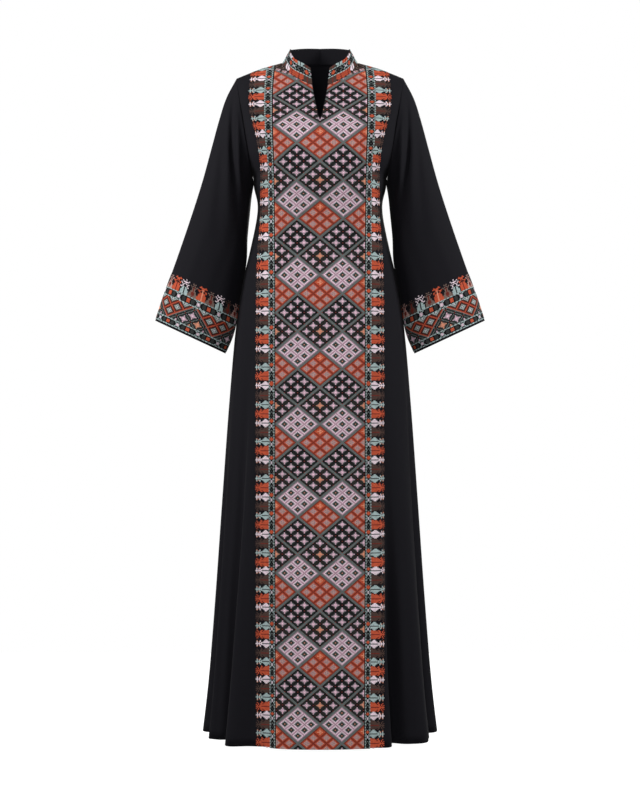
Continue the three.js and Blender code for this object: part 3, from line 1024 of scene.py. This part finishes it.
# %% The front panel
FIRST_ROW_Z = -146.2
WAIST_ROW, WAIST_ROW_Z = 240, -631.4
LOW_ROW, LOW_ROW_Z = 640, -1415.4
SHOULDER_ROW_STEP = 1.62
CLOTH_ROW_STEP = 2.0
TOP_ROWS = 100
LAST_ROW = 666
SPLIT_ROW = 280
EDGE_MARGIN = 0.7
BARE_ABOVE = 0.9
BARE_IN_SLIT = 1

# How far the panel's lines stand from the middle, as seen squarely from the front.
PANEL_LINES = columns(("z", "field", "band", "tips"), [
    (0, 98, 116, 149),
    (-67, 102.2, 120.2, 154.6),
    (-112, 102.2, 120.2, 153),
    (-146, 102, 118.7, 144.1),
    (-184, 100.8, 116.9, 135.6),
    (-226, 99.2, 112.4, 129.6),
    (-263, 98.6, 111.3, 128.8),
    (-316, 98.1, 111.1, 130.1),
    (-358, 97.9, 110.9, 131.4),
    (-428, 97, 110.9, 136.5),
    (-623, 96.3, 109.6, 138.5),
    (-837, 95.8, 109, 137.7),
    (-1069, 95.3, 108.4, 137),
    (-1279, 94.1, 106.5, 135.8),
    (-1470, 92.8, 105, 134.5),
])
PANEL_STOPS = (0, FIELD_HALF + 1, FIELD_HALF + 1.5 + BAND_WIDTH, PANEL_HALF + 0.5)
LINE_NAMES = ("field", "band", "tips")
line_drop = [-z for z in PANEL_LINES["z"]]
panel_line = {name: smooth(line_drop, PANEL_LINES[name]) for name in LINE_NAMES}

row_marks, height_marks = [], []
z = FIRST_ROW_Z
for row in range(0, -TOP_ROWS - 1, -1):
    row_marks.insert(0, row)
    height_marks.insert(0, z)
    slope = (stand_out("front", 50.0, z + 1) - stand_out("front", 50.0, z - 1)) / 2
    z += min(SHOULDER_ROW_STEP, CLOTH_ROW_STEP / math.sqrt(1 + slope ** 2))
ROWS_BELOW = 100
row_height = (WAIST_ROW_Z - LOW_ROW_Z) / (LOW_ROW - WAIST_ROW)
row_marks += [WAIST_ROW, LOW_ROW, LOW_ROW + ROWS_BELOW]
height_marks += [WAIST_ROW_Z, LOW_ROW_Z, LOW_ROW_Z - ROWS_BELOW * row_height]

# The level lines are followed to this turn, past the panel's edges.
PANEL_TURN = 1.35
LINE_TURNS = np.linspace(0, PANEL_TURN, 500)


def neck_edge(x):
    """The height of the front's top edge at x."""
    t = (x - NECK_FRONT[0]) / (NECK_POINT[0] - NECK_FRONT[0])
    neck = mix(NECK_FRONT[1], NECK_POINT[1], neck_rise(clamp(t)))
    return np.where(x < NECK_POINT[0], neck, ridge(x))


def panel_xyz(u, v):
    """Where a chart point lies on the front, before its edges are trimmed."""
    x, y, z = np.zeros(len(u)), np.zeros(len(u)), np.interp(v, row_marks, height_marks)
    for half in (-1, 1):
        for height in np.unique(z):
            on = (z == height) & (u * half >= 0)
            if not on.any():
                continue
            line_x, line_y = body_line("front", half, LINE_TURNS, height)
            arc = np.concatenate([[0], np.cumsum(np.hypot(np.diff(line_x), np.diff(line_y)))])
            lines = [panel_line[name](-height) for name in LINE_NAMES]
            stops = [0] + [np.interp(line, line_x, arc) for line in lines]
            along = np.interp(np.abs(u[on]), PANEL_STOPS, stops)
            x[on], y[on] = np.interp(along, arc, line_x), np.interp(along, arc, line_y)
    return x, y, z


def panel_place(u, v):
    x, y, z = panel_xyz(u, v)
    x = np.where(z > SLIT_POINT, np.maximum(x, slit(z) + EDGE_MARGIN), x)
    high = z > neck_edge(x) - EDGE_MARGIN
    z = np.minimum(z, neck_edge(x) - EDGE_MARGIN)
    trimmed = stand_out("front", x, z) + crease_lift(CREASES["front", 1], x, z)
    y = np.where(high | (x <= slit(z) + EDGE_MARGIN), trimmed, y)
    return np.stack([np.where(u < 0, -x, x), -(LEAVE + y), z], axis=1)


def trimmed_panel_stitch(u, v):
    """The panel's letter, bare above the neck edge and in the slit."""
    height = float(np.interp(v, row_marks, height_marks))
    if height > SLIT_POINT:
        lines = [0] + [float(panel_line[name](-height)) for name in LINE_NAMES]
        x = np.interp(abs(u), PANEL_STOPS, lines)
        if u == 0 or height > neck_edge(x) + BARE_ABOVE or x < slit(height) - BARE_IN_SLIT:
            return BARE
    return panel_stitch(u, v)


def panel_piece(name, first_row, last_row):
    columns_, rows = (-PANEL_HALF, PANEL_HALF), (first_row, last_row)
    return stitching(name, columns_, rows, trimmed_panel_stitch, panel_place)


stitching_upper = panel_piece("stitching_upper", -TOP_ROWS, SPLIT_ROW - 1)
stitching_lower = panel_piece("stitching_lower", SPLIT_ROW, LAST_ROW)

# %% [markdown]
# ## The cuffs
# The cuff's border is the same work, turned to run round the sleeve: a band at the
# edge, the lower halves of orange diamonds and the upper halves of black ones, a
# second band, and taller plants. Its lines stay level with the cuff's edge, so the
# rows are measured square to that edge and not along the sleeve.

# %% The cuffs
CUFF_COLUMNS = 160
CUFF_ROW = 2.2
EDGE_ROWS = 2
EDGE_BAND_ROWS = 7
DIAMOND_ROWS = 19
UPPER_BAND_ROWS = 8
CUFF_PLANT_ROWS = 15
CUFF_PLANT_SPACING = 8
CUFF_PLANT_SHIFT = 12
CUFF_SHIFT = 3
UPPER_BAND_SHIFT = 7
SLIM_TREE = [
    "TTTTTTTTTKWW.W.", "CCCCCCCKKW.WK..", "CCCCCC.WWK.W...", "CCCC..W..W..W..",
    "......W...W....",
]
BROAD_TREE = [
    "TTTTTTTTTTTCC..", "CCCCCCCCKKCCC..", "CCCCCCCCKC.KCC.", "CCCCCC..CCK.C..",
    "CCC......C.....",
]
SMALL_TREE = [
    "RRRRRRRRRR.C...", "CCRRRCCCC.C.C..", "CCCCCC...C.....", "CCCC......C....",
    "CC.............",
]
CUFF_TREES = [
    ("O", "R", BROAD_TREE), ("A", "K", SLIM_TREE), ("U", "R", SMALL_TREE), ("O", "E", BROAD_TREE),
    ("U", "R", SMALL_TREE), ("A", "K", SLIM_TREE), ("B", "R", SMALL_TREE), ("D", "Q", SMALL_TREE),
]
# The bands' letters, by how far a row is from the band's middle.
CUFF_MOTIFS = ["OOOKSSSKKPWPKKSSSK", "OOOKSSSKKAPAKKSSSK", "KKKKKSKKAKKKAKKSKK"]
CUFF_ORANGE_RINGS = "WGAUKRO"
CUFF_FRAME = "GO"
BAND_MARKS = (0, EDGE_ROWS, EDGE_BAND_ROWS, DIAMOND_ROWS, UPPER_BAND_ROWS, CUFF_PLANT_ROWS)
edge_band_at, diamonds_at, upper_band_at, plants_at, cuff_top = np.cumsum(BAND_MARKS)[1:]


def motif_letter(u, row, rows):
    """The bands' motifs: an orange dot, a charcoal drop and a cross in turn, between
    a pale line on each side."""
    if row in (0, rows - 1):
        return "AAG"[u % 3]
    line = CUFF_MOTIFS[int(abs(row - (rows - 1) / 2))]
    return line[u % len(line)]


def cuff_diamond(across, down):
    """The zigzag: lower halves of orange diamonds, with upper halves of black ones
    between them."""
    edge = HALF_DIAMOND - abs(across) - down
    if edge > 0:
        cell, p, q = cell_of(across, down)
        if edge <= len(CUFF_FRAME):
            return CUFF_FRAME[edge - 1]
        return CUFF_ORANGE_RINGS[abs(p) + abs(q)]
    across -= HALF_DIAMOND if across > 0 else -HALF_DIAMOND
    cell, p, q = cell_of(across, down - HALF_DIAMOND)
    return star_cell(p, q, "EP"[cell[0] % 2], "G")


def cuff_stitch(u, v):
    """The letter of the cuff's stitch, u round the sleeve and v up from its edge."""
    if v < edge_band_at:
        return BARE
    if v < diamonds_at:
        return motif_letter(u, v - edge_band_at, EDGE_BAND_ROWS)
    if v < upper_band_at:
        across = (u + CUFF_SHIFT) % (2 * HALF_DIAMOND) - HALF_DIAMOND
        return cuff_diamond(across, upper_band_at - 1 - v)
    if v < plants_at:
        return motif_letter(u + UPPER_BAND_SHIFT, v - upper_band_at, UPPER_BAND_ROWS)
    number, place = divmod(u - CUFF_PLANT_SHIFT, CUFF_PLANT_SPACING)
    off = abs(place - CUFF_PLANT_SPACING // 2)
    return plant_letter(CUFF_TREES[number % len(CUFF_TREES)], off, v - plants_at)


RING_SAMPLES = 721
ROW_SAMPLES = 241
CUFF_FROM_ROW = 5
around_samples = np.linspace(0, 1, RING_SAMPLES)
cuff_ring = sleeve_place(around_samples, np.full(RING_SAMPLES, float(SLEEVE_END)))
cuff_arc = np.concatenate([[0], np.cumsum(np.linalg.norm(np.diff(cuff_ring, axis=0), axis=1))])
cuff_share = cuff_arc / cuff_arc[-1]
row_samples = np.linspace(CUFF_FROM_ROW, SLEEVE_END, ROW_SAMPLES)
cuff_line = np.array([SLEEVE[f"over_{axis}"][-1] - SLEEVE[f"under_{axis}"][-1] for axis in "xz"])
up_sleeve = np.array([-cuff_line[1], cuff_line[0]]) / np.linalg.norm(cuff_line)
print(f"the cuff is {cuff_arc[-1]:.0f} mm round")


def cuff_points(u, v):
    around = np.interp((u / CUFF_COLUMNS) % 1, cuff_share, around_samples)
    points = np.zeros((len(u), 3))
    for angle in np.unique(around):
        on = around == angle
        line = sleeve_place(np.full(len(row_samples), angle), row_samples)
        height = (line[:, [0, 2]] - line[-1, [0, 2]]) @ up_sleeve
        wanted = (v[on] + 0.5) * CUFF_ROW
        for k in range(3):
            points[on, k] = np.interp(wanted, height[::-1], line[::-1, k])
    return points


def cuff_piece(name, half):
    def place(u, v):
        return cuff_points(u, v) * (half, 1, 1)

    return stitching(name, (0, CUFF_COLUMNS - 1), (0, int(cuff_top) - 1), cuff_stitch, place)


cuff_left_stitching = cuff_piece("cuff_left_stitching", -1)
cuff_right_stitching = cuff_piece("cuff_right_stitching", 1)

# %% [markdown]
# ## The collar's stitching
# The collar repeats the edge of the panel: a band between two pale lines, with the
# bodies of the plants above and below it, counted from the collar's front ends.

# %% The collar's stitching
COLLAR_ROWS = 17
LOW_LINE, HIGH_LINE = 6, 13
LOW_PLANTS = [PLANTS[k] for k in (2, 0, 0, 1, 2, 3)]
COLLAR_STITCH = 2.35
COLLAR_PLANT_SPACING = 8
COLLAR_SAMPLES = 601
collar_ways = np.linspace(1, 0, COLLAR_SAMPLES)
collar_foot = collar_place(1, collar_ways, np.full(COLLAR_SAMPLES, 0.5))
collar_arc = np.concatenate([[0], np.cumsum(np.linalg.norm(np.diff(collar_foot, axis=0), axis=1))])
collar_half = int(collar_arc[-1] / COLLAR_STITCH)
print(f"the collar is {2 * collar_arc[-1]:.0f} mm long")


def collar_stitch(u, v):
    """The letter of the collar's stitch, u from the nape and v up from the seam."""
    number, place = divmod(collar_half - abs(u), COLLAR_PLANT_SPACING)
    off = abs(place - COLLAR_PLANT_SPACING // 2)
    if v < LOW_LINE:
        letter = plant_letter(LOW_PLANTS[number % len(LOW_PLANTS)], off, LOW_LINE - 1 - v)
        return "Q" if letter == "O" and (u + v) % 2 else letter
    if v > HIGH_LINE:
        return plant_letter(PLANTS[(number + 2) % len(PLANTS)], off, v - 1 - HIGH_LINE)
    if v in (LOW_LINE, HIGH_LINE):
        return "AAG"[u % 3]
    if v in (LOW_LINE + 1, HIGH_LINE - 1):
        return "K"
    return BAND[abs(u) % len(BAND)][v - LOW_LINE - 2]


def collar_points(u, v):
    arc = np.minimum(np.abs(u) / (collar_half + 0.5), 1) * collar_arc[-1]
    way = np.interp(arc, collar_arc, collar_ways)
    up = 0.01 + 0.98 * (v + 0.5) / COLLAR_ROWS
    return collar_place(np.where(u < 0, -1, 1), way, up)


collar_span = (-collar_half, collar_half)
collar_stitching = stitching(
    "collar_stitching", collar_span, (0, COLLAR_ROWS - 1), collar_stitch, collar_points)

# %% [markdown]
# ## Thread
# Stranded cotton is brighter than the crepe and has a silky sheen. Each stitch is
# two slanting strands that cross, so the bump is the higher of two ridges along
# the diagonals of its square, read from the chart's own map.

# %% Thread
cotton, shader = fabric("cotton_thread", (0.5, 0.5, 0.5), 0.75, 0.02, 0.12)
links = cotton.node_tree.links
colour = node_of(cotton, "ShaderNodeAttribute", (-500, 300), attribute_name="thread")
links.new(colour.outputs["Color"], shader.inputs["Base Color"])
chart_map = node_of(cotton, "ShaderNodeUVMap", (-1500, -100), uv_map="chart")
axes = node_of(cotton, "ShaderNodeSeparateXYZ", (-1300, -100))
links.new(chart_map.outputs["UV"], axes.inputs["Vector"])


def math_node(operation, place, *inputs):
    node = node_of(cotton, "ShaderNodeMath", place, operation=operation)
    for socket, value in zip(node.inputs, inputs):
        if isinstance(value, (int, float)):
            socket.default_value = value
        else:
            links.new(value, socket)
    return node.outputs["Value"]


def strand(way, height):
    """A ridge along one diagonal of each stitch."""
    across = math_node("MULTIPLY_ADD", (-1100, height), axes.outputs["Y"], way, axes.outputs["X"])
    place = math_node("PINGPONG", (-900, height), across, 0.5)
    return math_node("SUBTRACT", (-700, height), 0.5, place)


crossed = math_node("MAXIMUM", (-500, -100), strand(1, 0), strand(-1, -200))
relief = node_of(cotton, "ShaderNodeBump", (-250, -100), Strength=0.5, Distance=0.0006)
links.new(crossed, relief.inputs["Height"])
links.new(relief.outputs["Normal"], shader.inputs["Normal"])

stitched_pieces = (
    stitching_upper, stitching_lower, cuff_left_stitching, cuff_right_stitching, collar_stitching,
)
for piece in stitched_pieces:
    piece.data.materials.append(cotton)

# %% [markdown]

# %% [markdown]
# ## The floor
# A worn dress hangs just clear of the floor. The floor looks as white as the room,
# but throws only a little light back up under the hem.

# %% The floor
FLOOR_Z = -1.5
FLOOR_SIZE = 1.4

bm = bmesh.new()
bmesh.ops.create_grid(bm, x_segments=1, y_segments=1, size=FLOOR_SIZE)
bmesh.ops.translate(bm, verts=bm.verts, vec=(0, 0, FLOOR_Z))
floor_mesh = bpy.data.meshes.new("floor")
bm.to_mesh(floor_mesh)
bm.free()
floor = bpy.data.objects.new("floor", floor_mesh)
scene.collection.objects.link(floor)
pale, shader = fabric("pale_floor", (0.3, 0.3, 0.3), 0.9, 0.0, 0.0)
shader.inputs["Emission Color"].default_value = (1, 1, 1, 1)
path = node_of(pale, "ShaderNodeLightPath", (-300, 0))
pale.node_tree.links.new(path.outputs["Is Camera Ray"], shader.inputs["Emission Strength"])
floor_mesh.materials.append(pale)
